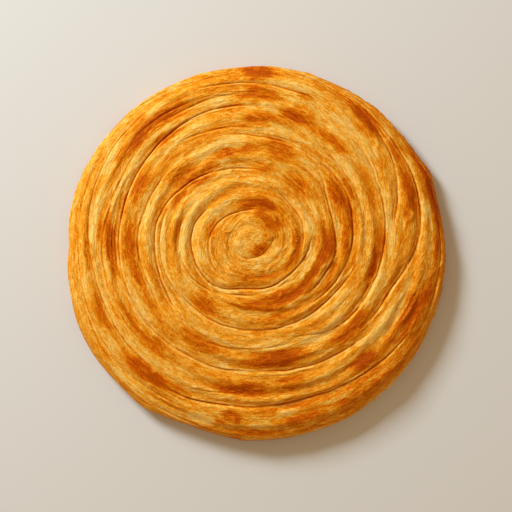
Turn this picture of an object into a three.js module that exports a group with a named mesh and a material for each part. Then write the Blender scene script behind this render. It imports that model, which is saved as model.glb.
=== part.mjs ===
// Paratha: an oiled sheet of dough is pleated into a long strip, the strip is coiled about one end, and the
// coil is pressed and fried. The folds of the strip stay in relief as soft rolls between narrow creases.
// Millimetres, Z up, the bread resting on Z = 0 with the middle of its outline on the Z axis.
import * as THREE from "three";

const DIAMETER = 180; // mean diameter of the pressed coil
const CROWN = 18; // height of the rolls over the middle
const SHOULDER = 13.5; // height of the top where it starts to turn down
const GIRTH = 5.5; // height of the widest line of the side
const TURN = 15; // how far in from the edge the top starts to turn down
const TUCK = 8; // how far the side draws in under the bread
const HEART = { x: 0.4, y: 5.2 }; // the coil's inner end, off the middle of the outline
// The outline is pressed by hand, so it is a little out of round: lobes, size and direction of each.
const OUT_OF_ROUND = [
  { lobes: 2, size: 0.5, at: 2 },
  { lobes: 4, size: 0.3, at: 36 },
  { lobes: 5, size: 0.25, at: -1 },
];
// Places where the hand pressed its edge in or left it out: direction, how far and half width in degrees.
const PRESSED = [
  { at: 12, size: -0.4, width: 8 },
  { at: 25, size: 0.8, width: 4 },
  { at: 40, size: -0.4, width: 10 },
  { at: 85, size: 0.3, width: 7 },
  { at: 156, size: 0.5, width: 8 },
  { at: 176, size: -0.6, width: 6 },
  { at: 203, size: 0.5, width: 12 },
  { at: 233, size: 0.8, width: 7 },
  { at: 251, size: -0.5, width: 6 },
  { at: 272, size: 0.3, width: 8 },
  { at: 309, size: -0.5, width: 6 },
  { at: 321, size: 0.5, width: 6 },
  { at: 347, size: 0.4, width: 7 },
];

// The main folds of the strip. Each runs counterclockwise about the heart from an angle, over a sweep, in
// degrees, and passes the radii given at even steps along it. The deep ones part two turns of the coil.
const FOLDS = [
  { from: 190, sweep: 190, depth: 1.0, radii: [10.4, 9.6, 7.4, 6.3, 6.4, 8.4] },
  { from: 112, sweep: 80, depth: 0.5, radii: [14.2, 13, 12] },
  { from: 275, sweep: 180, depth: 0.6, radii: [12.8, 12.8, 13.2, 14.8, 15.7] },
  { from: 85, sweep: 150, depth: 1.3, radii: [15.5, 16, 18.9, 21.8, 23.1, 22.8] },
  { from: 138, sweep: 232, depth: 2.2, radii: [26.5, 30.3, 30, 28.6, 23, 22.3, 21.8, 23.7, 26.7] },
  { from: 346, sweep: 88, depth: 1.6, radii: [21.2, 23, 23.4, 26.4] },
  { from: 150, sweep: 125, depth: 1.3, radii: [35.6, 36.3, 35.2, 31.6, 26.6, 25] },
  { from: 78, sweep: 44, depth: 0.9, radii: [29.4, 31.1, 33.6] },
  { from: 82, sweep: 145, depth: 2.4, radii: [33.8, 36.9, 42.2, 47.9, 48.4, 49.7] },
  { from: 208, sweep: 146, depth: 2.0, radii: [43.4, 42.6, 41.9, 42, 44, 48.8] },
  { from: 302, sweep: 170, depth: 1.4, radii: [38.1, 41.3, 44.9, 47.9, 48.4, 49.7, 52.7] },
  { from: 312, sweep: 100, depth: 1.7, radii: [34.2, 35.4, 37.6, 37.3, 39, 45.4] },
  { from: 86, sweep: 48, depth: 1.3, radii: [53.8, 56.3, 60.2] },
  { from: 134, sweep: 92, depth: 1.3, radii: [53, 54, 56, 54.6, 55.4] },
  { from: 84, sweep: 244, depth: 2.0, radii: [63.6, 66.2, 65.2, 64.9, 65, 64, 62.5, 61.6, 64.8, 69.2] },
  { from: 288, sweep: 120, depth: 1.5, radii: [47.2, 55, 58.3, 60.9, 63.6, 66.8] },
  { from: 56, sweep: 33, depth: 1.0, radii: [58, 60.4, 64.4] },
  { from: 316, sweep: 110, depth: 2.1, radii: [65.2, 67.2, 76.6, 80.5, 81.5, 82.6] },
  { from: 2, sweep: 90, depth: 1.7, radii: [63.8, 71.2, 77.2, 81, 82.8, 83.4] },
  { from: 45, sweep: 27, depth: 1.1, radii: [66.2, 65.6, 71.5] },
  { from: 58, sweep: 60, depth: 1.6, radii: [72.2, 73.4, 74.9, 77, 78.8] },
  { from: 124, sweep: 116, depth: 1.5, radii: [80.4, 81.6, 80.3, 78, 77.6, 77.2] },
  { from: 136, sweep: 92, depth: 1.1, radii: [70.6, 70.5, 73, 72.8, 71] },
  { from: 234, sweep: 102, depth: 2.1, radii: [81.6, 79, 77.6, 80.9, 85] },
  { from: 238, sweep: 36, depth: 1.0, radii: [76.6, 73.4, 71.2] },
  { from: 320, sweep: 36, depth: 1.1, radii: [76.6, 78.4, 82.4] },
  { from: 150, sweep: 104, depth: 1.1, radii: [84.8, 85, 84.6, 86.2, 87, 86.4, 84] },
  { from: 80, sweep: 56, depth: 1.1, radii: [69.5, 71.2, 71.4, 72.5] },
  { from: 8, sweep: 60, depth: 1.1, radii: [51.4, 52.4, 53.4, 56] },
  { from: 108, sweep: 36, depth: 1.1, radii: [72.4, 74.6, 75.4] },
  { from: 228, sweep: 70, depth: 1.0, radii: [53.5, 52.2, 50.4, 50.8] },
  { from: 18, sweep: 66, depth: 0.8, radii: [30, 31.6, 33, 37] },
  { from: 156, sweep: 74, depth: 1.4, radii: [44.2, 45.6, 45.5, 44.4, 43.4] },
  { from: 150, sweep: 60, depth: 0.8, radii: [67.6, 68.2, 67.8, 66.6] },
  { from: 38, sweep: 34, depth: 1.2, radii: [74.4, 76.8, 79.2, 80.2] },
  { from: 34, sweep: 42, depth: 0.9, radii: [39, 40.9, 40.4, 39.4] },
  { from: 176, sweep: 60, depth: 0.7, radii: [15.6, 16.6, 17.4, 17.2] },
];
// The folds that show on the side as layers. Their distances run along the skin from the middle of the top.
const SIDE_FOLDS = [
  { from: 190, sweep: 200, depth: 1.0, radii: [84, 89, 93, 96.5] },
  { from: 325, sweep: 180, depth: 1.1, radii: [86, 90, 92, 97] },
  { from: 95, sweep: 170, depth: 1.1, radii: [86, 92, 94, 96] },
  { from: 35, sweep: 130, depth: 0.9, radii: [94, 96, 98.5] },
  { from: 230, sweep: 140, depth: 0.9, radii: [96, 98.5, 99] },
];
const FADE = 20; // degrees over which a fold opens at either end
const CREASE_WIDTH = 2.8; // how fast the dough swells away from a crease
const SLIT_WIDTH = 1.1; // how fast it does right beside the crease, where the sheets part
const SLIT_SHARE = 0.45; // how much of the depth of a crease is this narrow slit
const PLUMPNESS = 0.8; // how much the rolls stand up between their creases
// Between the main folds the edges of the sheets show as finer ridges, which follow the coil.
const COIL_PITCH = 18.5; // how far the coil grows in one turn
const PLY_RIDGES = [
  { perTurn: 2, height: 0.2, at: 100 },
  { perTurn: 3, height: 0.25, at: 40 },
];
const BASE_EASE = 5; // the relief dies away over this much skin where the side meets the base
const BASE_DEPTH = 0.8; // share of the relief left on the underside, pressed on the pan

// The faces: rings of points along the coil, closer together where a crease runs between them.
const RINGS = 76;
const STEP = 4.35; // distance between the points of a ring
const HEART_EXTRA = 5; // extra reach by which the small rings about the heart are counted
const BASE_SPREAD = 0.45; // how much sparser the rings stand on the base
const CLOSER = 1.0; // how much closer the rings stand per millimetre of crease depth
const SECTION_STEPS = 90;
const SLACK = 1.6; // by how many points one ring may get ahead of the next
const SHORTNESS = 0.03; // how much the length of an edge counts beside how far it stands off the skin
const DIRECTIONS = 144;
const EVENING = 12; // how many times the rings are evened out along their length

const RADIUS = DIAMETER / 2;
const RAD = Math.PI / 180;
const TURN_ROUND = RADIUS - TURN;
const BASE_REACH = RADIUS - TUCK;

const smooth = (t) => {
  const c = Math.min(Math.max(t, 0), 1);
  return c * c * (3 - 2 * c);
};

// A curve through evenly spaced values, rounded at each of them.
function through(values, t) {
  const last = values.length - 1;
  const at = Math.min(Math.max(t, 0), 1) * last;
  const k = Math.min(Math.floor(at), last - 1);
  const u = at - k;
  const [a, b, c, d] = [k - 1, k, k + 1, k + 2].map((i) => values[Math.min(Math.max(i, 0), last)]);
  return b + 0.5 * u * (c - a + u * (2 * a - 5 * b + 4 * c - d + u * (3 * (b - c) + d - a)));
}

// The creases at a place of the skin: their joint depth, and how far off the nearest one is.
function creasesAt(place) {
  let depth = 0;
  let nearest = Infinity;
  const addFolds = (folds, angle, distance) => {
    const degrees = (angle / RAD + 720) % 360;
    for (const fold of folds) {
      const along = (degrees - fold.from + 360) % 360;
      if (along > fold.sweep) continue;
      const open = smooth(along / FADE) * smooth((fold.sweep - along) / FADE);
      const off = through(fold.radii, along / fold.sweep) - distance;
      const [wide, narrow] = [CREASE_WIDTH, SLIT_WIDTH].map((width) => Math.exp(-Math.abs(off) / width));
      depth += fold.depth * open * ((1 - SLIT_SHARE) * wide + SLIT_SHARE * narrow);
      if (open > 0.2 && Math.abs(off) < Math.abs(nearest)) nearest = off;
    }
  };
  addFolds(FOLDS, place.angle, place.distance);
  if (place.extra > 0) addFolds(SIDE_FOLDS, place.around, place.skin);
  return { depth, nearest };
}

// The fine ridges of the sheets, which wind outward with the coil.
function ridgesAt({ angle, distance }) {
  const turns = distance / COIL_PITCH - angle / (2 * Math.PI);
  const height = (ply) => ply.height * Math.cos(2 * Math.PI * ply.perTurn * turns + ply.at * RAD);
  return PLY_RIDGES.reduce((sum, ply) => sum + height(ply), 0) * smooth(distance / 12);
}

// How far the outline stands out in a direction, as a share of the mean radius.
function outOfRound(angle) {
  const lobe = (one) => one.size * Math.cos(one.lobes * (angle - one.at * RAD));
  const press = (one) => {
    const off = ((angle / RAD - one.at + 540) % 360) - 180;
    return one.size * Math.exp(-((off / one.width) ** 2));
  };
  const sum = (values) => values.reduce((total, value) => total + value, 0);
  return (sum(OUT_OF_ROUND.map(lobe)) + sum(PRESSED.map(press))) / RADIUS;
}

// The cross-section from the middle of the top, over the side, to the middle of the base, at small steps: its
// reach from the axis, its height, its outward direction and the length of skin run so far.
function crossSection() {
  const stations = [];
  const add = (reach, z, out, base = false) => {
    const before = stations.at(-1) ?? { reach, z, skin: 0 };
    const skin = before.skin + Math.hypot(reach - before.reach, z - before.z);
    const size = Math.hypot(...out);
    stations.push({ reach, z, out: out.map((v) => v / size), skin, base });
  };
  const fall = CROWN - SHOULDER;
  for (let k = 0; k < SECTION_STEPS; k++) {
    const t = k / SECTION_STEPS;
    add(TURN_ROUND * t, CROWN - fall * t * t, [(2 * fall * t) / TURN_ROUND, 1]);
  }
  for (let k = 0; k <= SECTION_STEPS; k++) {
    const turn = (Math.PI * k) / SECTION_STEPS;
    const [wide, tall] = turn < Math.PI / 2 ? [TURN, SHOULDER - GIRTH] : [TUCK, GIRTH];
    const [across, up] = [Math.sin(turn), Math.cos(turn)];
    add(RADIUS - wide + wide * across, GIRTH + tall * up, [tall * across, wide * up]);
  }
  for (let k = 1; k <= SECTION_STEPS; k++) add(BASE_REACH * (1 - k / SECTION_STEPS), 0, [0, -1], true);
  return stations;
}
const SECTION = crossSection();
const BASE_START = SECTION.find((station) => station.base).skin;
const SKIN = SECTION.at(-1).skin;

function sectionAt(skin) {
  const k = Math.max(1, SECTION.findIndex((station) => station.skin >= skin - 1e-9));
  const [a, b] = [SECTION[k - 1], SECTION[k]];
  const t = (skin - a.skin) / (b.skin - a.skin);
  const mix = (p, q) => p + (q - p) * t;
  return {
    reach: mix(a.reach, b.reach),
    z: mix(a.z, b.z),
    out: [mix(a.out[0], b.out[0]), mix(a.out[1], b.out[1])],
    base: b.base,
  };
}

// A point of the plan: round about the heart in the middle of the coil, round about the axis at the edge.
function plan(angle, reach) {
  const share = (reach / RADIUS) ** 2;
  const run = reach * (1 + outOfRound(angle) * share);
  return {
    x: HEART.x * (1 - share) + run * Math.cos(angle),
    y: HEART.y * (1 - share) + run * Math.sin(angle),
  };
}

// A place of the skin: its point in the plan, its direction and distance from the heart, and its direction
// about the axis. Over the side the plan stands still and the skin runs on, so the distance does too.
function placeOn(around, skin) {
  const { reach, base, ...section } = sectionAt(skin);
  const { x, y } = plan(around, reach);
  const [dx, dy] = [x - HEART.x, y - HEART.y];
  const extra = base ? 0 : skin - reach;
  const angle = Math.atan2(dy, dx);
  return { ...section, x, y, base, skin, around, extra, angle, distance: Math.hypot(dx, dy) + extra };
}

// The point of the skin at a place. The base is pressed flat on the pan, so its rolls end in the plane Z = 0
// and only its creases stay open.
function pointOn(around, skin) {
  const place = placeOn(around, skin);
  const ease = smooth(Math.abs(skin - BASE_START) / BASE_EASE);
  const relief = (PLUMPNESS + ridgesAt(place) - creasesAt(place).depth) * ease;
  const lift = place.base ? Math.min(0, BASE_DEPTH * relief) : relief;
  return [
    place.x + lift * place.out[0] * Math.cos(around),
    place.y + lift * place.out[0] * Math.sin(around),
    Math.max(0, place.z + lift * place.out[1]),
  ];
}

// Where the rings cross one direction: skin distances at even shares of a measure that runs faster near
// creases and slower on the base.
function ringCrossings(around) {
  let whole = 0;
  const run = SECTION.map(({ skin, base }, k) => {
    const length = k ? skin - SECTION[k - 1].skin : 0;
    whole += length * (1 + CLOSER * creasesAt(placeOn(around, skin)).depth) * (base ? BASE_SPREAD : 1);
    return whole;
  });
  return Array.from({ length: RINGS }, (_, r) => {
    const goal = (whole * (r + 1)) / (RINGS + 1);
    const k = run.findIndex((sum) => sum >= goal);
    const t = (goal - run[k - 1]) / (run[k] - run[k - 1]);
    return SECTION[k - 1].skin + t * (SECTION[k].skin - SECTION[k - 1].skin);
  });
}

// The crossings of all directions, evened out with those of their neighbours.
function evenCrossings() {
  let rows = Array.from({ length: DIRECTIONS }, (_, k) => ringCrossings((2 * Math.PI * k) / DIRECTIONS));
  for (let pass = 0; pass < EVENING; pass++) {
    const near = (k, r) => rows[(k + DIRECTIONS) % DIRECTIONS][r];
    rows = rows.map((row, k) => row.map((_, r) => (near(k - 1, r) + 2 * near(k, r) + near(k + 1, r)) / 4));
  }
  return rows;
}
const CROSSINGS = evenCrossings();

// The skin distance of a ring in a direction, drawn onto a crease that passes nearer than half the gap
// between rings, so that the bottom of each crease is a clean line.
function ringSkin(ring, around) {
  const at = (around / (2 * Math.PI)) * DIRECTIONS;
  const k = Math.floor(at) % DIRECTIONS;
  const [here, next] = [CROSSINGS[k], CROSSINGS[(k + 1) % DIRECTIONS]];
  const skinOf = (r) => here[r] + (next[r] - here[r]) * (at - Math.floor(at));
  const skin = skinOf(ring);
  if (ring === 0 || ring === RINGS - 1) return skin;
  const place = placeOn(around, skin);
  const { nearest } = creasesAt(place);
  const move = place.base ? -nearest : nearest;
  const room = move < 0 ? skin - skinOf(ring - 1) : skinOf(ring + 1) - skin;
  return Math.abs(move) < 0.5 * room ? skin + move : skin;
}

// How badly an edge between two vertices lies: how far its middle stands off the skin, and a little of its
// length.
function misfit(a, b) {
  const turn = ((b.around - a.around + 3 * Math.PI) % (2 * Math.PI)) - Math.PI;
  const skin = pointOn(a.around + turn / 2, (a.skin + b.skin) / 2);
  const sag = Math.hypot(...skin.map((value, axis) => value - (a.at[axis] + b.at[axis]) / 2));
  return sag + SHORTNESS * Math.hypot(...a.at.map((value, axis) => value - b.at[axis]));
}

// The triangles between two rings, inner first. Each step takes the better fitting of the two ways across,
// so that edges lie along the creases, unless one ring would get ahead of the other.
function strip(inner, outer, vertices) {
  const faces = [];
  const index = (ring, k) => ring.first + (k % ring.count);
  const turn = (ring, k) => (ring.count > 1 && k < ring.count ? (k + 0.5) / ring.count : Infinity);
  let [i, o] = [0, 0];
  while (Math.min(turn(inner, i), turn(outer, o)) < Infinity) {
    const [a, b] = [index(inner, i), index(outer, o)];
    const [nextInner, nextOuter] = [index(inner, i + 1), index(outer, o + 1)];
    const ahead = turn(inner, i) - turn(outer, o);
    const level = Math.abs(ahead) < SLACK / Math.max(inner.count, outer.count);
    const better = misfit(vertices[nextInner], vertices[b]) < misfit(vertices[a], vertices[nextOuter]);
    if (level ? better : ahead < 0) {
      faces.push(a, b, nextInner);
      i++;
    } else {
      faces.push(a, b, nextOuter);
      o++;
    }
  }
  return faces;
}

// One closed skin: rings of points joined by triangles, with a single point at the top and one at the base.
function skinGeometry() {
  const vertices = [];
  const rings = [];
  const addRing = (count, skinOf) => {
    rings.push({ first: vertices.length, count });
    for (let k = 0; k < count; k++) {
      const around = (2 * Math.PI * k) / count;
      const skin = skinOf(around);
      vertices.push({ around, skin, at: pointOn(around, skin) });
    }
  };
  addRing(1, () => 0);
  for (let r = 0; r < RINGS; r++) {
    const typical = CROSSINGS.reduce((sum, crossings) => sum + crossings[r], 0) / DIRECTIONS;
    const { reach, base } = sectionAt(typical);
    const count = Math.round((2 * Math.PI * (reach + (base ? 0 : HEART_EXTRA))) / STEP);
    addRing(Math.max(count, 6), (around) => ringSkin(r, around));
  }
  addRing(1, () => SKIN);
  const faces = rings.slice(1).flatMap((ring, r) => strip(rings[r], ring, vertices));
  const points = vertices.flatMap((vertex) => vertex.at);
  return new THREE.BufferGeometry()
    .setAttribute("position", new THREE.Float32BufferAttribute(points, 3))
    .setIndex(faces);
}

const geometry = skinGeometry();
geometry.computeBoundingBox();
const { min, max } = geometry.boundingBox;
geometry.translate(-(min.x + max.x) / 2, -(min.y + max.y) / 2, -min.z);
geometry.computeVertexNormals();

const brownedDough = new THREE.MeshStandardMaterial({ color: 0xd88a2a, roughness: 0.6, metalness: 0 });
brownedDough.name = "browned_dough";
const paratha = new THREE.Mesh(geometry, brownedDough);
paratha.name = "paratha";

const part = new THREE.Group();
part.name = "paratha_flatbread";
part.add(paratha);
export default part;
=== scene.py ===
import math

import bpy
import numpy as np
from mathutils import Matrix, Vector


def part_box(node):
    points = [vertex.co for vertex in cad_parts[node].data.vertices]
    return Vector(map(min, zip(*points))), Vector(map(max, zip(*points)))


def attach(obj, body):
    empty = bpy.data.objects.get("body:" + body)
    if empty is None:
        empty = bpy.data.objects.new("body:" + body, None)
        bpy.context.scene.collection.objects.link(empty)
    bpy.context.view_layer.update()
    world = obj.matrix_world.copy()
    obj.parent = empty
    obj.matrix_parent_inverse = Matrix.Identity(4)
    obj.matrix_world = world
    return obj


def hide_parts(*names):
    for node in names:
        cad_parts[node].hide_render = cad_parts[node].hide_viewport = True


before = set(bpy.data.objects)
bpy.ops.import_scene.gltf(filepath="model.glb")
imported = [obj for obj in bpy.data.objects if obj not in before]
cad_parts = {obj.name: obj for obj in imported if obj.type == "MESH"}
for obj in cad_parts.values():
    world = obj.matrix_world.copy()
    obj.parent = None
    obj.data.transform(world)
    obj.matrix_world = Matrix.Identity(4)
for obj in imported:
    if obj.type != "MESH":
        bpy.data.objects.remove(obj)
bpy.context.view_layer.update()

# ---------------------------------------------------------------------------------------------------------
# The coiled dough. An oiled sheet of wheat dough is pleated into a strip, the strip is wound round one end
# and the coil is pressed by hand. Its folds stay as soft rolls between narrow creases, and the edges of the
# sheets between them as thin flaky ridges, which run on round the side as layers.
# ---------------------------------------------------------------------------------------------------------
MM = 0.001  # the sizes of the bread are in millimetres
DIAMETER = 180
RADIUS = DIAMETER / 2
CROWN = 18  # height of the middle of the top
SHOULDER = 13.5  # height at which the domed top turns over into the side
GIRTH = 5.5  # height at which the bread is widest
TURN = 15  # how far in from the edge the side starts at the top
TUCK = 8  # how far in from the edge it ends at the base
HEART = (0.4, 5.2)  # the middle of the coil, from the middle of the bread
OUT_OF_ROUND = ((2, 0.5, 2), (4, 0.3, 36), (5, 0.25, -1))  # lobes, size, direction in degrees
PRESSED = (  # direction, how far the edge was pressed in or left out, and for how many degrees either way
    (12, -0.4, 8), (25, 0.8, 4), (40, -0.4, 10), (85, 0.3, 7), (156, 0.5, 8), (176, -0.6, 6), (203, 0.5, 12),
    (233, 0.8, 7), (251, -0.5, 6), (272, 0.3, 8), (309, -0.5, 6), (321, 0.5, 6), (347, 0.4, 7),
)

# Each fold runs counterclockwise about the heart: start and sweep in degrees, depth, and the radii that it
# passes at even steps.
FOLDS = (
    (190, 190, 1.0, (10.4, 9.6, 7.4, 6.3, 6.4, 8.4)),
    (112, 80, 0.5, (14.2, 13, 12)),
    (275, 180, 0.6, (12.8, 12.8, 13.2, 14.8, 15.7)),
    (85, 150, 1.3, (15.5, 16, 18.9, 21.8, 23.1, 22.8)),
    (138, 232, 2.2, (26.5, 30.3, 30, 28.6, 23, 22.3, 21.8, 23.7, 26.7)),
    (346, 88, 1.6, (21.2, 23, 23.4, 26.4)),
    (150, 125, 1.3, (35.6, 36.3, 35.2, 31.6, 26.6, 25)),
    (78, 44, 0.9, (29.4, 31.1, 33.6)),
    (82, 145, 2.4, (33.8, 36.9, 42.2, 47.9, 48.4, 49.7)),
    (208, 146, 2.0, (43.4, 42.6, 41.9, 42, 44, 48.8)),
    (302, 170, 1.4, (38.1, 41.3, 44.9, 47.9, 48.4, 49.7, 52.7)),
    (312, 100, 1.7, (34.2, 35.4, 37.6, 37.3, 39, 45.4)),
    (86, 48, 1.3, (53.8, 56.3, 60.2)),
    (134, 92, 1.3, (53, 54, 56, 54.6, 55.4)),
    (84, 244, 2.0, (63.6, 66.2, 65.2, 64.9, 65, 64, 62.5, 61.6, 64.8, 69.2)),
    (288, 120, 1.5, (47.2, 55, 58.3, 60.9, 63.6, 66.8)),
    (56, 33, 1.0, (58, 60.4, 64.4)),
    (316, 110, 2.1, (65.2, 67.2, 76.6, 80.5, 81.5, 82.6)),
    (2, 90, 1.7, (63.8, 71.2, 77.2, 81, 82.8, 83.4)),
    (45, 27, 1.1, (66.2, 65.6, 71.5)),
    (58, 60, 1.6, (72.2, 73.4, 74.9, 77, 78.8)),
    (124, 116, 1.5, (80.4, 81.6, 80.3, 78, 77.6, 77.2)),
    (136, 92, 1.1, (70.6, 70.5, 73, 72.8, 71)),
    (234, 102, 2.1, (81.6, 79, 77.6, 80.9, 85)),
    (238, 36, 1.0, (76.6, 73.4, 71.2)),
    (320, 36, 1.1, (76.6, 78.4, 82.4)),
    (150, 104, 1.1, (84.8, 85, 84.6, 86.2, 87, 86.4, 84)),
    (80, 56, 1.1, (69.5, 71.2, 71.4, 72.5)),
    (8, 60, 1.1, (51.4, 52.4, 53.4, 56)),
    (108, 36, 1.1, (72.4, 74.6, 75.4)),
    (228, 70, 1.0, (53.5, 52.2, 50.4, 50.8)),
    (18, 66, 0.8, (30, 31.6, 33, 37)),
    (156, 74, 1.4, (44.2, 45.6, 45.5, 44.4, 43.4)),
    (150, 60, 0.8, (67.6, 68.2, 67.8, 66.6)),
    (38, 34, 1.2, (74.4, 76.8, 79.2, 80.2)),
    (34, 42, 0.9, (39, 40.9, 40.4, 39.4)),
    (176, 60, 0.7, (15.6, 16.6, 17.4, 17.2)),
)
# The folds that show on the side as layers run about the middle of the bread, and their radii are lengths of
# skin from the middle of the top.
SIDE_FOLDS = (
    (190, 200, 1.0, (84, 89, 93, 96.5)),
    (325, 180, 1.1, (86, 90, 92, 97)),
    (95, 170, 1.1, (86, 92, 94, 96)),
    (35, 130, 0.9, (94, 96, 98.5)),
    (230, 140, 0.9, (96, 98.5, 99)),
)
FADE = 20  # degrees over which a fold opens at either end
OPEN_ENOUGH = 0.2  # how far open it has to be for the rows of the mesh to follow it
CREASE_WIDTH = 2.8
SLIT_WIDTH = 0.65
SLIT_SHARE = 0.37  # how much of a fold's depth is its narrow slit
SLIT_UNEVEN = 0.6  # how much greater and smaller that share gets on its way
LINE_WIDTH = 0.4  # of the line down the middle of a crease
LIP_OFF = 0.7  # how far off the crease its lips stand
LIP_WIDTH = 0.45
UNEVEN = 0.4  # how much deeper and shallower the folds get on their way
UNEVEN_LENGTH = 16  # over how long a stretch
SLIT_UNEVEN_LENGTH = 9


def smooth(t):
    """0 below 0, 1 above 1, and three t squared less two t cubed between."""
    t = np.clip(t, 0, 1)
    return t * t * (3 - 2 * t)


def through(values, t):
    """A cubic through evenly spaced values.

    Its slope at each value is half the step from the one before it to the one after.
    """
    values = np.asarray(values, float)
    last = len(values) - 1
    at = np.clip(t, 0, 1) * last
    k = np.minimum(np.floor(at).astype(int), last - 1)
    u = at - k
    a, b, c, d = (values[np.clip(k + i, 0, last)] for i in (-1, 0, 1, 2))
    return b + 0.5 * u * (c - a + u * (2 * a - 5 * b + 4 * c - d + u * (3 * (b - c) + d - a)))


def grain(u, v, seed):
    """Smooth value noise, -1 to 1.

    Seeded random numbers on a square lattice, joined by three t squared less two t cubed. A whole number
    added to u and v only picks another part of the lattice.
    """
    cells = 256
    table = np.random.default_rng(seed).random((cells, cells)) * 2 - 1
    i, j = np.floor(u).astype(int), np.floor(v).astype(int)
    f, g = smooth(u - i), smooth(v - j)
    i, j, next_i, next_j = i % cells, j % cells, (i + 1) % cells, (j + 1) % cells
    near = table[i, j] * (1 - g) + table[i, next_j] * g
    far = table[next_i, j] * (1 - g) + table[next_i, next_j] * g
    return near * (1 - f) + far * f


def creases(folds, degrees, distance):
    """The joint depth of the folds at a place, the line down each, its lips, and how far off the nearest is.

    A crease is its depth times e to the minus distance off it over a width, shared between a wide and a
    narrow one. It opens smoothly at its ends, and smooth noise changes its depth and the narrow share on its
    way. The line and the lips are bells, e to the minus square of the distance off them over their width.
    """
    x, y = distance * np.cos(np.radians(degrees)), distance * np.sin(np.radians(degrees))
    uneven = 1 + UNEVEN * grain(x / UNEVEN_LENGTH + 20, y / UNEVEN_LENGTH + 20, seed=9)
    slit_uneven = SLIT_UNEVEN * grain(x / SLIT_UNEVEN_LENGTH + 60, y / SLIT_UNEVEN_LENGTH + 60, seed=13)
    slit = SLIT_SHARE * (1 + slit_uneven)
    depth, line, lip, nearest = (np.full_like(distance, value) for value in (0, 0, 0, np.inf))
    for start, sweep, deep, radii in folds:
        along = (degrees - start) % 360
        opened = (along <= sweep) * smooth(along / FADE) * smooth((sweep - along) / FADE) * uneven
        off = through(radii, along / sweep) - distance
        wide, narrow = np.exp(-np.abs(off) / CREASE_WIDTH), np.exp(-np.abs(off) / SLIT_WIDTH)
        depth += deep * opened * ((1 - slit) * wide + slit * narrow)
        line = np.maximum(line, deep * opened * np.exp(-((off / LINE_WIDTH) ** 2)))
        lip = np.maximum(lip, deep * opened * np.exp(-(((np.abs(off) - LIP_OFF) / LIP_WIDTH) ** 2)))
        nearest = np.where((opened > OPEN_ENOUGH) & (np.abs(off) < np.abs(nearest)), off, nearest)
    return depth, line, lip, nearest


COIL_PITCH = 18.5  # how far the coil grows outward in a turn, where no fold says otherwise
PITCH_WEIGHT = 0.2  # how much that counts beside a fold
SLOPE_REACH = 6  # how far off a fold the strands still follow it, in millimetres
SLOPE_EARLY = 6  # how long before it opens they do, in degrees
SLOPE_STEP = 0.5
FURTHEST = 120  # further from the heart than any skin


def coil_slope():
    """How fast the coil grows outward, in millimetres a radian, by degrees about the heart and distance.

    It is the mean of the slopes of the folds near by, each weighted by a bell on the distance off it and by
    how far it has opened, and of the coil's own pitch. A slope is the rise over a fiftieth of the sweep.
    """
    degrees, distance = np.meshgrid(np.arange(361.0), np.arange(0, FURTHEST, SLOPE_STEP), indexing="ij")
    weight = np.full_like(distance, PITCH_WEIGHT)
    total = weight * COIL_PITCH / (2 * np.pi)
    for start, sweep, _, radii in FOLDS:
        along = (degrees - start) % 360
        t = along / sweep
        before, after = smooth((along + SLOPE_EARLY) / FADE), smooth((sweep - along + SLOPE_EARLY) / FADE)
        slope = (through(radii, t + 0.01) - through(radii, t - 0.01)) / math.radians(0.02 * sweep)
        bell = np.exp(-(((distance - through(radii, t)) / SLOPE_REACH) ** 2))
        near = (along <= sweep) * before * after * bell
        weight += near
        total += near * slope
    return total / weight


SLOPE = coil_slope()
SPOKES = 6
SPOKE_GAP = 2 * np.pi / SPOKES
SPOKE_STRIDE = 97  # millimetres of noise from one spoke to the next, so that no two look alike
WAY_STEPS = 12


def coil_way(angle, distance, offset):
    """How far along the coil a place lies from the nearest spoke, and where its strand crosses that spoke.

    The spokes stand at even angles from the offset on. The strand is followed to its spoke in small steps
    along the coil's slope, and the distance from the heart at which it arrives is the crossing.
    """
    spoke = np.round((angle - offset) / SPOKE_GAP)
    turned = angle - offset - spoke * SPOKE_GAP
    at, crossing = angle.copy(), distance.copy()
    for _ in range(WAY_STEPS):
        row = np.round(np.degrees(at)).astype(int) % 360
        column = np.clip(np.round(crossing / SLOPE_STEP).astype(int), 0, SLOPE.shape[1] - 1)
        crossing -= SLOPE[row, column] * turned / WAY_STEPS
        at -= turned / WAY_STEPS
    return turned * distance + SPOKE_STRIDE * (spoke % SPOKES), crossing


def strands(ways, length, width, seed):
    """Noise drawn out along the coil, read off both sets of spokes and crossfaded between them.

    It is grain of the given length and width in millimetres, and half as much of one that is 1.7 times as
    short and twice as narrow.
    """
    total = 0
    for along, across, share in ways:
        coarse = grain(along / length, across / width, seed)
        finer = grain(along / length * 1.7, across / width * 2, seed + 1)
        total = total + share * (coarse + 0.5 * finer)
    return total


# The section of the bread: the domed top, the two elliptical quarters of the side, the flat base.
SECTION_STEPS = 90
dome = np.arange(SECTION_STEPS) / SECTION_STEPS
turning = np.pi * np.arange(SECTION_STEPS + 1) / SECTION_STEPS
upper = turning < np.pi / 2
wide = np.where(upper, TURN, TUCK)
tall = np.where(upper, SHOULDER - GIRTH, GIRTH)
inward = 1 - np.arange(1, SECTION_STEPS + 1) / SECTION_STEPS
flat = 0 * inward
fall = CROWN - SHOULDER
section_reach = np.concatenate([
    (RADIUS - TURN) * dome, RADIUS - wide + wide * np.sin(turning), (RADIUS - TUCK) * inward])
section_z = np.concatenate([CROWN - fall * dome**2, GIRTH + tall * np.cos(turning), flat])
section_across = np.concatenate([2 * fall * dome / (RADIUS - TURN), tall * np.sin(turning), flat])
section_up = np.concatenate([0 * dome + 1, wide * np.cos(turning), flat - 1])
section_size = np.hypot(section_across, section_up)
section_skin = np.concatenate([[0], np.cumsum(np.hypot(np.diff(section_reach), np.diff(section_z)))])
SKIN = section_skin[-1]
BASE_START = section_skin[2 * SECTION_STEPS + 1]
WANDER = 0.4  # how far the folds wander off their smooth paths
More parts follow.
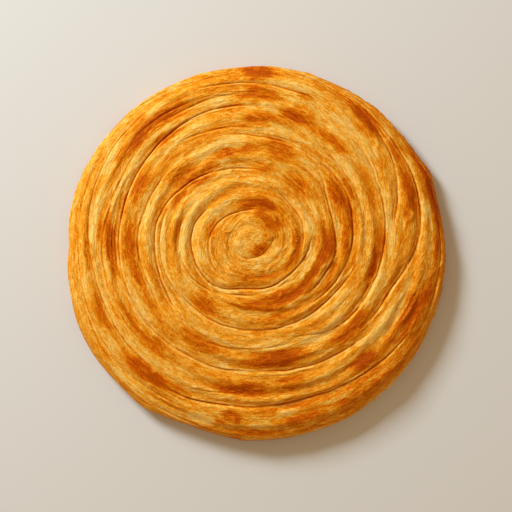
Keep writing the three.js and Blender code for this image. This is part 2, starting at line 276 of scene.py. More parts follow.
WANDER_LENGTH = 15  # over how long a stretch
TREMBLE = 0.4  # share of a shorter wander
TREMBLE_LENGTH = 5


def place_of(skin, around):
    """Where a length of skin from the middle of the top and a direction lie, in the plan and from the heart.

    In the middle the plan is round about the heart, at the edge about the axis, and the share between is the
    square of the reach. Over the side the plan stands still and the skin runs on, so the distance from the
    heart does too. Smooth noise makes it wander a little, so that no fold is drawn as if with a compass.
    """
    reach = np.interp(skin, section_skin, section_reach)
    base = skin > BASE_START + 1e-6
    share = (reach / RADIUS) ** 2
    out_of_round = sum(size * np.cos(lobes * (around - math.radians(at))) for lobes, size, at in OUT_OF_ROUND)
    for at, size, width in PRESSED:
        off = (np.degrees(around) - at + 180) % 360 - 180
        out_of_round = out_of_round + size * np.exp(-((off / width) ** 2))
    run = reach * (1 + out_of_round / RADIUS * share)
    x = HEART[0] * (1 - share) + run * np.cos(around)
    y = HEART[1] * (1 - share) + run * np.sin(around)
    angle = np.arctan2(y - HEART[1], x - HEART[0])
    wander = grain(x / WANDER_LENGTH + 40, y / WANDER_LENGTH + 40, seed=5)
    tremble = TREMBLE * grain(x / TREMBLE_LENGTH + 40, y / TREMBLE_LENGTH + 40, seed=6)
    down_side = np.where(base, 0, skin - reach)
    distance = np.hypot(x - HEART[0], y - HEART[1]) + down_side + WANDER * (wander + tremble)
    return x, y, angle, distance, base


def folds_at(skin, around, angle, distance, base):
    """The creases of the coil and, off the base, those of the side: depths added, the stronger line and lip.

    The last result is how far off the nearest of them all is.
    """
    depth, line, lip, nearest = creases(FOLDS, np.degrees(angle) % 360, distance)
    side_depth, side_line, side_lip, side_nearest = creases(SIDE_FOLDS, np.degrees(around) % 360, skin)
    nearer = ~base & (np.abs(side_nearest) < np.abs(nearest))
    line, lip = np.maximum(line, ~base * side_line), np.maximum(lip, ~base * side_lip)
    return depth + ~base * side_depth, line, lip, np.where(nearer, side_nearest, nearest)


AROUND = 400  # points in each row of the mesh
ROWS = 244
BASE_ROWS = 0.4  # how closely the rows stand on the base, set against the rest
CLOSER = 2.6  # how much more closely they stand at a crease
CLOSER_REACH = 1.3  # how far off it they still do, in millimetres
SKIN_STEP = 0.2
MOST_MOVE = 0.45  # share of the gap to the next row that a row may be moved


def rows_of_skin():
    """The lengths of skin at which the rows of the mesh cross each direction.

    They are even shares of a measure that runs faster near a crease and slower on the base. They are evened
    out against their neighbours round the bread, and then the nearest row is drawn onto each crease.
    """
    fine = np.arange(0, SKIN, SKIN_STEP)
    skin, around = np.meshgrid(fine, 2 * np.pi * np.arange(AROUND) / AROUND, indexing="ij")
    _, _, angle, distance, base = place_of(skin, around)
    nearest = folds_at(skin, around, angle, distance, base)[3]
    pace = (1 + CLOSER * np.exp(-((nearest / CLOSER_REACH) ** 2))) * np.where(base, BASE_ROWS, 1)
    run = np.cumsum(pace, axis=0) / np.sum(pace, axis=0)
    shares = np.arange(1, ROWS + 1) / (ROWS + 1)
    rows = np.stack([np.interp(shares, column, fine) for column in run.T], axis=1)
    for step in (1, 2, 4):
        rows = (np.roll(rows, step, axis=1) + 2 * rows + np.roll(rows, -step, axis=1)) / 4
    around = around[:1] + 0 * rows
    _, _, angle, distance, base = place_of(rows, around)
    nearest = folds_at(rows, around, angle, distance, base)[3]
    move = np.where(base, -nearest, nearest)
    gap = np.minimum(np.diff(rows, axis=0, prepend=0), np.diff(rows, axis=0, append=SKIN))
    return rows + np.where(np.abs(move) < MOST_MOVE * gap, move, 0)


PLUMPNESS = 0.8  # how far the rolls swell out
PLY_RIDGES = ((2, 0.2, 100), (3, 0.25, 40))  # ridges in a turn, height, phase in degrees
RIDGE_EASE = 12  # distance from the heart at which they reach their height
# Length and width of each kind of strand in millimetres, and its seed.
PLIES = (20, 2.6, 7)
FLAKES = (7, 1.1, 19)
SHEETS = (26, 3.4, 43)
WAVES = (60, 9, 61)
STREAKS = (22, 2.2, 83)
MOTTLES = (9, 2.6, 91)
MOTTLE_CRISPNESS = 2.5
PLY_HEIGHT = 0.38
FLAKE_HEIGHT = 0.08
EDGE_HEIGHT = 0.45
EDGE_SHARE = 0.17  # how much of the sheets' noise a thin edge takes up
LIP_HEIGHT = 0.1
SUNK = 0.4  # how far all of these are sunk, so that they don't swell the bread
CALM_HEART = 4  # how far from the heart they begin, and over what distance they grow
CALM_EASE = 14
PLAIN_HEART = 3  # how far from the heart fibres lie plainly across it, and over what distance they bend
PLAIN_EASE = 8
BASE_EASE = 5  # length of skin over which the relief fades at the rim of the base
BASE_DEPTH = 0.8  # how much of a crease is left on the pressed base


def skin_of_bread(skin, around):
    """Points and patterns of the skin at lengths of skin from the middle of the top and directions.

    A point is the section's, pushed along the section's outward direction by the relief: plump rolls, less
    the creases, plus the ridges of the plies and the finer strands. A thin edge of a sheet stands where the
    sheets' noise passes zero. The shares of the spokes are scaled so that strands are as strong between two
    spokes as on them. On the base the rolls are pressed flat, so only what is below them is kept.
    """
    z = np.interp(skin, section_skin, section_z)
    across = np.interp(skin, section_skin, section_across / section_size)
    up = np.interp(skin, section_skin, section_up / section_size)
    x, y, angle, distance, base = place_of(skin, around)
    depth, line, lip, _ = folds_at(skin, around, angle, distance, base)
    turns = distance / COIL_PITCH - angle / (2 * np.pi)
    ridges = sum(
        height * np.cos(2 * np.pi * many * turns + math.radians(at)) for many, height, at in PLY_RIDGES)
    rolls = PLUMPNESS + ridges * smooth(distance / RIDGE_EASE) - depth

    half_gap = SPOKE_GAP / 2
    even, odd = coil_way(angle, distance, 0), coil_way(angle, distance, half_gap)
    even_share = smooth(1 - np.abs((angle + half_gap) % SPOKE_GAP - half_gap) / half_gap)
    full = np.sqrt(even_share**2 + (1 - even_share) ** 2)
    ways = ((*even, even_share / full), (*odd, (1 - even_share) / full))
    plies, flakes = strands(ways, *PLIES), strands(ways, *FLAKES)
    edges = np.maximum(0, 1 - np.abs(strands(ways, *SHEETS)) / EDGE_SHARE)
    fine = PLY_HEIGHT * plies + FLAKE_HEIGHT * flakes + EDGE_HEIGHT * edges + LIP_HEIGHT * lip - SUNK

    at_base_rim = smooth(np.abs(skin - BASE_START) / BASE_EASE)
    relief = (rolls + fine * smooth((distance - CALM_HEART) / CALM_EASE)) * at_base_rim
    lift = np.where(base, np.minimum(0, BASE_DEPTH * relief), relief)
    points = np.stack([
        x + lift * across * np.cos(around),
        y + lift * across * np.sin(around),
        np.maximum(0, z + lift * up),
    ], axis=-1)
    patterns = {
        "x": x, "y": y, "skin": skin, "angle": angle, "distance": distance, "base": base.astype(float),
        "crease": depth, "line": line, "lip": lip, "rolls": rolls, "plies": plies, "flakes": flakes,
        "edges": edges, "waves": strands(ways, *WAVES), "streaks": strands(ways, *STREAKS),
        "mottles": np.tanh(MOTTLE_CRISPNESS * strands(ways, *MOTTLES)),
        "even_along": even[0], "even_across": even[1], "even_share": ways[0][2],
        "odd_along": odd[0], "odd_across": odd[1], "odd_share": ways[1][2],
        "heart": 1 - smooth((distance - PLAIN_HEART) / PLAIN_EASE),
    }
    return points, patterns


rows = rows_of_skin()
grid, patterns = skin_of_bread(rows, 2 * np.pi * np.arange(AROUND) / AROUND + 0 * rows)
ends, end_patterns = skin_of_bread(np.array([0.0, SKIN]), np.zeros(2))
points = np.concatenate([ends[:1], grid.reshape(-1, 3), ends[1:]])
patterns = {name: np.concatenate([end_patterns[name][:1], values.ravel(), end_patterns[name][1:]])
            for name, values in patterns.items()}

# The skin is set on the resting plane, in the middle of its box, and kept within the size of the solid.
cad_low, cad_high = (np.array(corner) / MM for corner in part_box("paratha"))
low, high = points.min(axis=0), points.max(axis=0)
points -= [(low[0] + high[0]) / 2, (low[1] + high[1]) / 2, low[2]]
points *= np.minimum(1, (cad_high - cad_low) / (high - low))
points += [(cad_low[0] + cad_high[0]) / 2, (cad_low[1] + cad_high[1]) / 2, cad_low[2]]

# Four-sided faces between the rows, and a fan of triangles at either pole.
r, k = np.meshgrid(np.arange(ROWS - 1), np.arange(AROUND), indexing="ij")
here, beside = 1 + r * AROUND + k, 1 + r * AROUND + (k + 1) % AROUND
quads = np.stack([here, here + AROUND, beside + AROUND, beside], axis=-1).reshape(-1, 4)
step = np.arange(AROUND)
top_fan = np.stack([0 * step, 1 + step, 1 + (step + 1) % AROUND], axis=-1)
last = 1 + (ROWS - 1) * AROUND
base_fan = np.stack([0 * step + len(points) - 1, last + (step + 1) % AROUND, last + step], axis=-1)

mesh = bpy.data.meshes.new("coiled_paratha")
mesh.from_pydata((points * MM).tolist(), [], top_fan.tolist() + quads.tolist() + base_fan.tolist())
mesh.polygons.foreach_set("use_smooth", np.ones(len(mesh.polygons), bool))
bread = bpy.data.objects.new("coiled_paratha", mesh)
bpy.context.scene.collection.objects.link(bread)
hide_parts("paratha")
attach(bread, "root")

# The coil is fried in a little oil on a hot pan: what stands proud and touches the pan browns first, in long
# spots that lie along the rolls, and the creases and thin lips stay pale gold. A few spots are painted light:
# dark ones in the dip at the heart, along the outer edge at the front right and beside some creases are
# painted shade, and some pale ones on lit walls are painted highlight. Each spot has a direction about the
# heart in degrees, a distance from it, a length, a half width and a strength. A strength below zero makes a
# place paler.
BROWNING_AND_LIGHT_SPOTS = (
    (89, 81.5, 16, 4, 1.1), (90, 69, 20, 3.6, 0.9), (72, 62, 18, 4, 0.9), (130, 74.3, 34, 3.4, 0.85),
    (99, 44.5, 18, 3, 0.7), (77, 46, 18, 4, 0.7), (84, 35.4, 11, 2.8, 0.6), (74, 40.8, 10, 1.8, 0.4),
    (87, 18.2, 14, 5, 1), (58, 15, 16, 6.5, 0.6), (51, 33, 18, 5, 0.6), (28, 47, 24, 4, 0.7),
    (8, 47, 10, 2.5, 0.45), (2, 34.3, 22, 4, 0.8), (20, 77, 24, 3.3, 0.75), (49, 79.5, 20, 3.8, 0.9),
    (53, 59.5, 20, 3.5, 0.7), (176, 71.8, 19, 3.2, 0.9), (177, 80.4, 14, 1.6, 0.4), (182, 61, 20, 2.8, 0.6),
    (196, 56.7, 10, 2, 0.4), (165, 64.8, 12, 2, 0.4), (177, 41, 24, 4, 0.3), (151, 61.4, 26, 3, 0.85),
    (130, 64.8, 18, 2.6, 0.7), (138, 48, 17, 4.3, 0.65), (229, 38.5, 18, 5, 0.7), (289, 29, 30, 4.5, 0.85),
    (322, 31, 14, 3.5, 0.5), (241, 54.5, 22, 3.5, 0.7), (222, 68, 26, 3.5, 0.65), (204, 81, 24, 3.5, 0.55),
    (209, 71.5, 20, 3, 0.5), (229, 81.3, 24, 3.7, 0.85), (264, 70.5, 26, 3, 1), (280, 56.5, 34, 3.5, 1),
    (312, 75.3, 15, 4.8, 0.95), (284, 68, 14, 3, 0.6), (319, 61.5, 22, 3.5, 0.75), (346, 55.5, 22, 2.5, 0.7),
    (0, 57.5, 18, 3, 0.55), (336, 80, 20, 3, 0.85), (285, 86.3, 18, 2.5, 0.7), (88, 58, 18, 4, 0.9),
    (100, 64.3, 10, 2, 0.4), (104, 67.3, 8, 1.6, -0.4), (33, 79, 15, 3, 0.5), (1, 85, 24, 3, 0.4),
    (148, 75.5, 26, 2.5, 0.4), (150, 79.3, 16, 2.2, -0.7), (141, 42.5, 26, 2.5, 0.6),
    (12, 67, 18, 2.5, 0.25), (28, 58, 22, 3, 0.3), (71, 73, 8, 2, 0.8), (336, 20, 12, 3, 0.4),
    (6, 19, 10, 3, 0.5), (166, 22, 12, 3, 0.4), (262, 29.5, 22, 3, 0.6), (338, 39, 24, 2.5, 0.4),
    (352, 47.5, 16, 2, 0.4), (278, 80, 32, 1.8, 0.4), (302, 4, 6.5, 2.8, 0.9), (305, 9, 13, 1.5, -0.5),
    (35, 9, 9, 4, 0.4), (170, 37.5, 16, 2, 0.5), (354, 31, 24, 3, 0.6), (2, 42.5, 18, 2.5, 0.5),
    (139, 77.3, 22, 2.2, 0.4), (18, 87.5, 40, 2.5, 0.7), (186, 57.6, 36, 2.4, 0.65),
    (284, 36.4, 24, 2.2, 0.5), (272, 41.9, 10, 1.8, 0.4), (264, 16.5, 24, 3, 0.45), (107, 81, 12, 2, 0.4),
    (262, 84, 8, 2.5, 0.6), (137, 39.5, 16, 2.5, 0.65), (123, 39.4, 10, 2, 0.45), (113, 43, 14, 2.5, 0.6),
    (122, 56, 44, 3, 0.4), (33, 43.5, 18, 2, 0.45), (22, 85, 30, 3.5, 0.5), (308, 83, 30, 2.4, 0.4),
    (240, 79, 20, 3, 0.4), (184, 67.4, 24, 2.4, 1), (224, 58.5, 14, 2.5, 0.4), (130, 26.3, 18, 2, 0.4),
    (134, 23, 12, 1.8, -0.4), (10, 72, 18, 2, 0.45), (5, 17.5, 14, 2, 0.5), (178, 15, 10, 2.5, 0.35),
    (70, 75, 12, 2, -0.5), (52, 68.8, 16, 2.4, -0.9), (46, 73, 10, 2, 0.4), (80, 77, 26, 2, -0.5),
    (109, 70.5, 18, 2.5, -0.4), (109, 47.8, 18, 2.8, -1.3), (48, 43.2, 20, 1.8, -0.45),
    (2, 39.4, 26, 1.6, -0.5), (336, 26, 16, 2, -0.5), (2, 63, 28, 1.8, -0.5), (344, 63.4, 14, 1.8, -0.5),
    (345, 75, 14, 1.8, -0.35), (18, 65, 12, 2, -0.4), (340, 60, 24, 1.8, -0.6), (325, 70.5, 26, 2.5, -0.5),
    (337, 67, 12, 2.2, 0.5), (325, 77.3, 20, 2.2, 0.4), (338, 84.5, 38, 2.5, 0.6), (15, 82.5, 40, 2, -0.5),
    (173, 77.2, 30, 2.4, -0.8), (180, 50, 18, 2, -0.5), (161, 47.4, 14, 2, 0.4), (162, 51.6, 18, 1.8, -0.5),
    (152, 40, 8, 2, 0.4), (204, 63, 26, 2, -0.6), (246, 50.5, 30, 2, -0.4), (250, 60, 14, 2, -0.4),
    (194, 26.2, 10, 2, -0.4), (191, 33.2, 12, 2, -0.35), (232, 25.9, 10, 2, -0.4), (226, 42, 16, 2.2, -0.7),
    (233, 76, 24, 2.2, -0.2), (212, 56.8, 16, 1.8, 0.45), (277, 49.5, 16, 2.5, -0.4),
    (300, 52.5, 12, 2, -0.5), (312, 53.5, 18, 2, -0.95), (327, 48.5, 12, 2, -0.45), (311, 58.6, 14, 2, 0.5),
    (271, 87, 15, 2, -0.4), (253, 88, 12, 2.6, -1), (258.5, 87.6, 6, 1.8, 0.5), (264, 86.2, 5, 1.6, 0.6),
    (280, 81.5, 12, 1.8, -0.7), (335, 74, 20, 2, -0.6), (182, 44.3, 22, 1.5, -0.9),
    (177, 34.8, 18, 1.3, -0.5), (30, 25.5, 22, 1.6, -0.4), (300, 24, 26, 1.5, -0.4),
    (39.5, 54.5, 17, 2.2, -0.8), (150, 68.5, 24, 2, -0.4), (168, 32.5, 18, 2, -0.6),
    (214, 37, 14, 2.5, -0.4), (272, 33, 18, 2, -0.4), (127, 79, 16, 2, -0.4), (136, 80.3, 18, 1.8, 0.4),
    (200, 7, 8, 4, -0.2), (141, 61.5, 18, 3, -0.4), (206, 76.5, 22, 2.5, -0.35), (16, 34.5, 18, 1.8, -0.65),
    (82, 54, 20, 3, -0.35), (155, 31, 30, 10, -0.25), (96, 80, 60, 6, 0.2), (313, 89.5, 66, 2.2, 0.35),
    (270, 91, 20, 2.2, 0.6), (299, 87, 14, 1.6, 0.45), (298, 83.9, 14, 1.6, -0.4), (213, 85, 26, 3.5, -0.35),
    (227, 88, 30, 4, -0.2), (198, 83, 16, 2.5, -0.35), (43, 82, 16, 2, -0.25), (26, 77, 14, 2, -0.2),
    (11, 81, 12, 2, -0.35), (58, 81, 14, 2, 0.25), (153, 77.4, 10, 1.6, -0.4), (327, 82, 12, 1.8, 0.35),
    (357, 85.3, 16, 2, 0.3), (241, 90.2, 20, 2, -0.25), (90, 74.3, 14, 1.8, 0.35), (43, 76, 12, 1.8, 0.3),
    (184, 80, 14, 1.8, 0.35), (312.5, 86, 12, 1.6, -0.3), (327, 88, 14, 1.8, 0.25), (122, 81.3, 14, 2, 0.3),
    (106, 80.6, 12, 2, -0.3), (27, 82.8, 14, 2, -0.3), (356, 82.3, 12, 1.6, -0.3),
    (341.5, 83.6, 12, 1.8, 0.3),
)
RAGGED_BY_PLIES = 1.1  # how far the strands push the outline of a spot to and fro, in millimetres
RAGGED_BY_FLAKES = 0.7
RAGGED_BY_MOTTLES = 0.25  # how much the mottles shrink and stretch it
LOW_SIDE = 89  # length of skin at which the spots start to give way to long waves, and over how much
LOW_EASE = 7
LOW_BROWN = 0.28
LOW_WAVES = 0.5


def spot_tone(pattern):
    """How far the spots brown the skin, a few as painted shade and highlight: the sum of bells with firm
    edges, ragged by the strands.

    A spot is its strength times e to the minus fourth power of the distance from its middle, measured along
    the coil over half its length and across it over its half width. Low on the side and on the base the skin
    browns in long waves instead.
    """
    ragged = RAGGED_BY_PLIES * pattern["plies"] + RAGGED_BY_FLAKES * pattern["flakes"]
    stretch = 1 + RAGGED_BY_MOTTLES * pattern["mottles"]
    total = np.zeros_like(pattern["distance"])
    for degrees, distance, length, width, strength in BROWNING_AND_LIGHT_SPOTS:
        turned = (pattern["angle"] - math.radians(degrees) + np.pi) % (2 * np.pi) - np.pi
        along = turned * distance / (length / 2)
        across = (pattern["distance"] + ragged - distance) / width
        total += strength * np.exp(-(((along**2 + across**2) * stretch) ** 2))
    low = np.maximum(pattern["base"], smooth((pattern["skin"] - LOW_SIDE) / LOW_EASE))
    return np.minimum(total, 1) * (1 - low) + low * (LOW_BROWN + LOW_WAVES * pattern["waves"])


# How far each place is fried, from 0 for raw and pale to 1 for the darkest brown, with painted shade added.
# Its front right side and its outer turn are made a little browner, which is painted shade: the side turned
# from the lamp, and an outer turn in the shade of a bowl's wall. Soft blotches a few millimetres wide,
# streaks of oil and flour and the thin edges of the sheets, which stay paler, are laid over the spots.
FRIED = 0.37  # where nothing is added to it
# Painted shade: how much browner the front right side and the outer turn are made, and over what reach.
SHADED_SIDE = 0.05
SHADED_SIDE_REACH = 85  # millimetres from the middle of the bread
SHADED_RIM = 0.06
SHADED_RIM_FROM = 66  # millimetres from the heart, and over how many more it grows
SHADED_RIM_EASE = 20
BLOTCHES = 0.05
BLOTCH_SIZE = 9
SMALL_BLOTCHES = 0.6  # share of the smaller ones
SMALL_BLOTCH_SIZE = 4
SPOTS_WEIGHT = 0.65
# Painted light in these: the rolls and crease terms make the creases browner, painted shade in them, and the
# lip term makes the lips beside each crease paler, partly less browned dough and partly painted highlight.
FRIED_AND_SHADE_BY_PATTERN = {
    "mottles": 0.02, "streaks": 0.08, "plies": 0.04, "rolls": -0.08, "edges": -0.22, "lip": -0.2,
    "crease": 0.08,
}
# A soft floor under the palest places, so that the fibres in them still show.
PALEST = 0.1
FLOOR_EASE = 0.05
x, y, _ = points.T
blotches = grain(x / BLOTCH_SIZE, y / BLOTCH_SIZE, seed=71)
blotches += SMALL_BLOTCHES * grain(x / SMALL_BLOTCH_SIZE, y / SMALL_BLOTCH_SIZE, seed=72)
# Painted shade: browner towards the front right and towards the outer turn.
painted_shade = SHADED_SIDE * (x - y) / SHADED_SIDE_REACH
painted_shade += SHADED_RIM * smooth((patterns["distance"] - SHADED_RIM_FROM) / SHADED_RIM_EASE)
fried_and_shade = FRIED + painted_shade + BLOTCHES * blotches + SPOTS_WEIGHT * spot_tone(patterns)
for name, weight in FRIED_AND_SHADE_BY_PATTERN.items():
    fried_and_shade += weight * patterns[name]
fried_and_shade = PALEST + FLOOR_EASE * np.logaddexp(0, (fried_and_shade - PALEST) / FLOOR_EASE)
for name, values in (("fried_and_shade", fried_and_shade), ("crease_line", patterns["line"])):
    mesh.attributes.new(name, "FLOAT", "POINT").data.foreach_set("value", values.astype(np.float32))

# Where each place lies on its strand, for both sets of spokes, and plainly across the heart, where the last
# plies are crumpled and their fibres shorter and broader. The third vector holds the share of each.
HEART_FIBRES = (2, 0.6)  # how much more closely the noise is read, along and across
none = 0 * patterns["angle"]
coiled = np.sqrt(1 - patterns["heart"] ** 2)
across_heart = (HEART_FIBRES[0] * patterns["x"], HEART_FIBRES[1] * patterns["y"], none)
shares = (coiled * patterns["even_share"], coiled * patterns["odd_share"], patterns["heart"])
for name, values in (("even_way", (patterns["even_along"], patterns["even_across"], none)),
                     ("odd_way", (patterns["odd_along"], patterns["odd_across"], none)),
                     ("heart_way", across_heart),
                     ("ways_share", shares)):
    vectors = np.stack(values, axis=-1).astype(np.float32).ravel()
    mesh.attributes.new(name, "FLOAT_VECTOR", "POINT").data.foreach_set("vector", vectors)


def linear(code):
    """An sRGB hex colour as linear red, green, blue and alpha."""
    channels = [int(code[i:i + 2], 16) / 255 for i in (1, 3, 5)]
    return (*[c / 12.92 if c <= 0.04045 else ((c + 0.055) / 1.055) ** 2.4 for c in channels], 1.0)


def add_node(tree, kind, inputs=(), stops=None, **settings):
    """Adds a node, sets its properties, fills or links its inputs, and gives a ramp its stops."""
    made = tree.nodes.new(kind)
    for name, value in settings.items():
        setattr(made, name, value)
    for name, value in dict(inputs).items():
        if isinstance(value, bpy.types.NodeSocket):
            tree.links.new(value, made.inputs[name])
        else:
            made.inputs[name].default_value = value
    if stops:
        elements = made.color_ramp.elements
        while len(elements) < len(stops):
            elements.new(1)
        for element, (place, code) in zip(elements, stops):
            element.position = place
            element.color = linear(code)
    return made


# Fried wheat dough: layered, a little oily and satin. It scatters light softly, so gloss is low, and the eye
# gets its flakiness from fibres, flakes and shingled sheets that differ in tone and in height.
crust = bpy.data.materials.new("fried_wheat_crust")
crust.use_nodes = True
tree = crust.node_tree
tree.nodes.clear()
fried_and_shade, line, share = (add_node(tree, "ShaderNodeAttribute", attribute_name=name)
                      for name in ("fried_and_shade", "crease_line", "ways_share"))
place = add_node(tree, "ShaderNodeTexCoord")

# Length and width of the fibres of the drawn-out dough, of the flakes and of the sheets, in millimetres.
# Fibres narrower than 0.6 mm would not show. Each noise is read three ways, off both sets of spokes and
# plainly across the heart, and the three are mixed by their shares.
FIBRE_SIZE = (3, 0.6)
FLAKE_SIZE = (5, 1.6)
SHEET_SIZE = (15, 3.2)
drawn = []
for length, width in (FIBRE_SIZE, FLAKE_SIZE, SHEET_SIZE):
    noises = []
    for side in ("even_way", "odd_way", "heart_way"):
        way = add_node(tree, "ShaderNodeAttribute", attribute_name=side)
        drawn_out = add_node(tree, "ShaderNodeMapping", {
            "Vector": way.outputs["Vector"], "Scale": (1 / length, 1 / width, 1)})
        noises.append(add_node(tree, "ShaderNodeTexNoise", {
            "Vector": drawn_out.outputs[0], "Scale": 1, "Detail": 3, "Roughness": 0.6, "Distortion": 0.4,
        }, normalize=False))
    all_three = add_node(tree, "ShaderNodeCombineXYZ", {
        "X": noises[0].outputs["Fac"], "Y": noises[1].outputs["Fac"], "Z": noises[2].outputs["Fac"]})
    drawn.append(add_node(tree, "ShaderNodeVectorMath", {
        0: all_three.outputs[0], 1: share.outputs["Vector"]}, operation="DOT_PRODUCT"))
# Toasted specks and pores. Real ones are a few tenths of a millimetre, too fine to show, so they are drawn
# about 0.7 mm across.
SPECKS_IN_MM = 1.5
specks = add_node(tree, "ShaderNodeTexNoise", {
    "Vector": place.outputs["Object"], "Scale": SPECKS_IN_MM / MM, "Detail": 2, "Roughness": 0.6,
}, normalize=False)
# The flakes have crisp outlines, the fibres and specks are soft.
flakes = add_node(tree, "ShaderNodeMapRange", {
    "Value": drawn[1].outputs["Value"], "From Min": -0.1, "From Max": 0.14, "To Min": -0.5, "To Max": 0.5,
}, interpolation_type="SMOOTHSTEP")
fine = add_node(tree, "ShaderNodeCombineXYZ", {
    "X": drawn[0].outputs["Value"], "Y": flakes.outputs["Result"], "Z": specks.outputs["Fac"]})
# The sheets lie like shingles. Each rises to a thin edge, and beyond it falls to the next in a crack. The
# crack is darkened as painted shade and the thin edge is paled as a painted highlight.
SHINGLES = 1.5  # how many there are for each unit of the sheets' noise
CRACK_END = 0.16  # shares of a shingle
EDGE_START = 0.7
EDGE_END = 0.95
stepped = add_node(tree, "ShaderNodeMath", {0: drawn[2].outputs["Value"], 1: SHINGLES}, operation="MULTIPLY")
shingle = add_node(tree, "ShaderNodeMath", {0: stepped.outputs[0]}, operation="FRACT")
crack = add_node(tree, "ShaderNodeMapRange", {
    "Value": shingle.outputs[0], "From Min": 0, "From Max": CRACK_END, "To Min": 1, "To Max": 0,
}, interpolation_type="SMOOTHSTEP")
thin_edge = add_node(tree, "ShaderNodeMapRange", {
    "Value": shingle.outputs[0], "From Min": EDGE_START, "From Max": EDGE_END, "To Min": 0, "To Max": 1,
}, interpolation_type="SMOOTHSTEP")

# How far fibres, flakes and specks shift the frying of the skin, and how far the painted shade of the cracks
# and the painted highlight of the thin edges darken and pale it.
FINE_TONES = (0.2, 0.15, 0.13)
CRACK_SHADE_TONE = 0.1
EDGE_HIGHLIGHT_TONE = -0.12
CREASE_SHADE_TONE = 0.06  # painted shade: how much dark brown is mixed into the line down a crease
shift = add_node(tree, "ShaderNodeVectorMath", {0: fine.outputs[0], 1: FINE_TONES}, operation="DOT_PRODUCT")
even_tone = add_node(tree, "ShaderNodeMath", {
    0: fried_and_shade.outputs["Fac"], 1: shift.outputs["Value"]}, operation="ADD")
crack_shaded_tone = add_node(tree, "ShaderNodeMath", {
    0: crack.outputs["Result"], 1: CRACK_SHADE_TONE, 2: even_tone.outputs[0]}, operation="MULTIPLY_ADD")
skin_tone = add_node(tree, "ShaderNodeMath", {
    0: thin_edge.outputs["Result"], 1: EDGE_HIGHLIGHT_TONE, 2: crack_shaded_tone.outputs[0]}, operation="MULTIPLY_ADD")
colour = add_node(tree, "ShaderNodeValToRGB", {"Fac": skin_tone.outputs[0]}, stops=(
    (0, "#f9d47c"), (0.2, "#f6ba4b"), (0.4, "#ec9c20"), (0.62, "#db7c06"), (0.8, "#cb6201"), (1, "#b44e00")))
line_shade = add_node(tree, "ShaderNodeMath", {
    0: line.outputs["Fac"], 1: CREASE_SHADE_TONE}, operation="MULTIPLY", use_clamp=True)
line_shaded = add_node(tree, "ShaderNodeMixRGB", {
    "Fac": line_shade.outputs[0], "Color1": colour.outputs["Color"], "Color2": linear("#a65204")})

# The same fibres, flakes and specks, shingles and cracks as fine relief.
FINE_HEIGHTS = (0.4, -0.3, 0.25)
SHINGLE_HEIGHT = 0.5
CRACK_HEIGHT = -0.3
RELIEF = 0.4  # millimetres for each unit of height
height = add_node(tree, "ShaderNodeVectorMath", {
    0: fine.outputs[0], 1: FINE_HEIGHTS}, operation="DOT_PRODUCT")
shingled = add_node(tree, "ShaderNodeMath", {
    0: shingle.outputs[0], 1: SHINGLE_HEIGHT, 2: height.outputs["Value"]}, operation="MULTIPLY_ADD")
cracked = add_node(tree, "ShaderNodeMath", {
    0: crack.outputs["Result"], 1: CRACK_HEIGHT, 2: shingled.outputs[0]}, operation="MULTIPLY_ADD")
bump = add_node(tree, "ShaderNodeBump", {
    "Strength": 0.6, "Distance": RELIEF * MM, "Height": cracked.outputs[0]})
skin_shader = add_node(tree, "ShaderNodeBsdfPrincipled", {
    "Base Color": line_shaded.outputs[0], "Roughness": 0.55, "Normal": bump.outputs[0], "IOR": 1.45,
    "Specular IOR Level": 0.06})
add_node(tree, "ShaderNodeOutputMaterial", {"Surface": skin_shader.outputs[0]})
mesh.materials.append(crust)

# ---------------------------------------------------------------------------------------------------------
# The stage: a plain pale table top, a soft lamp at the back left and a faint one across from it, light from
# all round, and a camera that looks straight down on the bread.
# ---------------------------------------------------------------------------------------------------------
TABLE_HALF = 1.5
TABLE_TOP = -0.0002  # just under the bread
corners = [(x * TABLE_HALF, y * TABLE_HALF, TABLE_TOP) for x, y in ((-1, -1), (1, -1), (1, 1), (-1, 1))]
table = bpy.data.meshes.new("pale_table")
table.from_pydata(corners, [], [(0, 1, 2, 3)])
table_top = bpy.data.objects.new("pale_table", table)
bpy.context.scene.collection.objects.link(table_top)
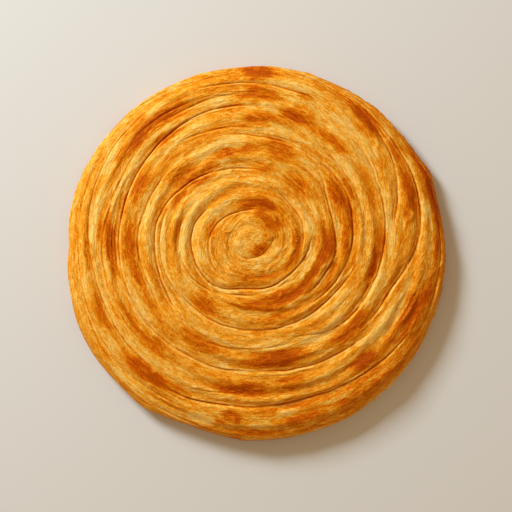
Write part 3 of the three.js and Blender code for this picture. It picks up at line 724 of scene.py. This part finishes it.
# Matt paint, rolled on, which is even and hardly shines.
matt_paint = bpy.data.materials.new("matt_pale_paint")
matt_paint.use_nodes = True
tree = matt_paint.node_tree
tree.nodes.clear()
table_shader = add_node(tree, "ShaderNodeBsdfPrincipled", {"Base Color": linear("#d9e0ec"), "Roughness": 0.8})
add_node(tree, "ShaderNodeOutputMaterial", {"Surface": table_shader.outputs[0]})
table.materials.append(matt_paint)


def add_lamp(name, place, size, watts, tint):
    """A square lamp turned to face the bread, its place and size in metres."""
    lamp = bpy.data.lights.new(name, "AREA")
    lamp.shape = "SQUARE"
    lamp.size = size
    lamp.energy = watts
    lamp.color = linear(tint)[:3]
    holder = bpy.data.objects.new(name, lamp)
    holder.location = place
    toward = -np.array(place) / np.linalg.norm(place)
    holder.rotation_euler = (math.acos(-toward[2]), 0, math.atan2(toward[1], toward[0]) - math.pi / 2)
    bpy.context.scene.collection.objects.link(holder)


add_lamp("window_lamp", place=(-0.75, 0.81, 0.69), size=0.375, watts=17.5, tint="#f8fcf4")
add_lamp("fill_lamp", place=(0.7, -0.5, 0.9), size=0.8, watts=0.3, tint="#fff4e4")

room = bpy.data.worlds.new("soft_room")
bpy.context.scene.world = room
room.use_nodes = True
background = room.node_tree.nodes["Background"]
background.inputs["Color"].default_value = linear("#f1c78e")
background.inputs["Strength"].default_value = 0.51
bpy.context.scene.view_settings.view_transform = "Standard"

FRAME_WIDTH = 512  # the frame and the bread in it, in pixels
BREAD_WIDTH = 378.6
BREAD_MIDDLE = (256.5, 253)
lens = bpy.data.cameras.new("camera")
lens.lens = 100
lens.sensor_width = 36
lens.clip_start = 0.01
lens.clip_end = 20
pixel = (cad_high[0] - cad_low[0]) * MM / BREAD_WIDTH
away = pixel * FRAME_WIDTH * lens.lens / lens.sensor_width
camera = bpy.data.objects.new("camera", lens)
camera.location = (
    (FRAME_WIDTH / 2 - BREAD_MIDDLE[0]) * pixel,
    (BREAD_MIDDLE[1] - FRAME_WIDTH / 2) * pixel,
    GIRTH * MM + away,
)
bpy.context.scene.collection.objects.link(camera)
bpy.context.scene.camera = camera
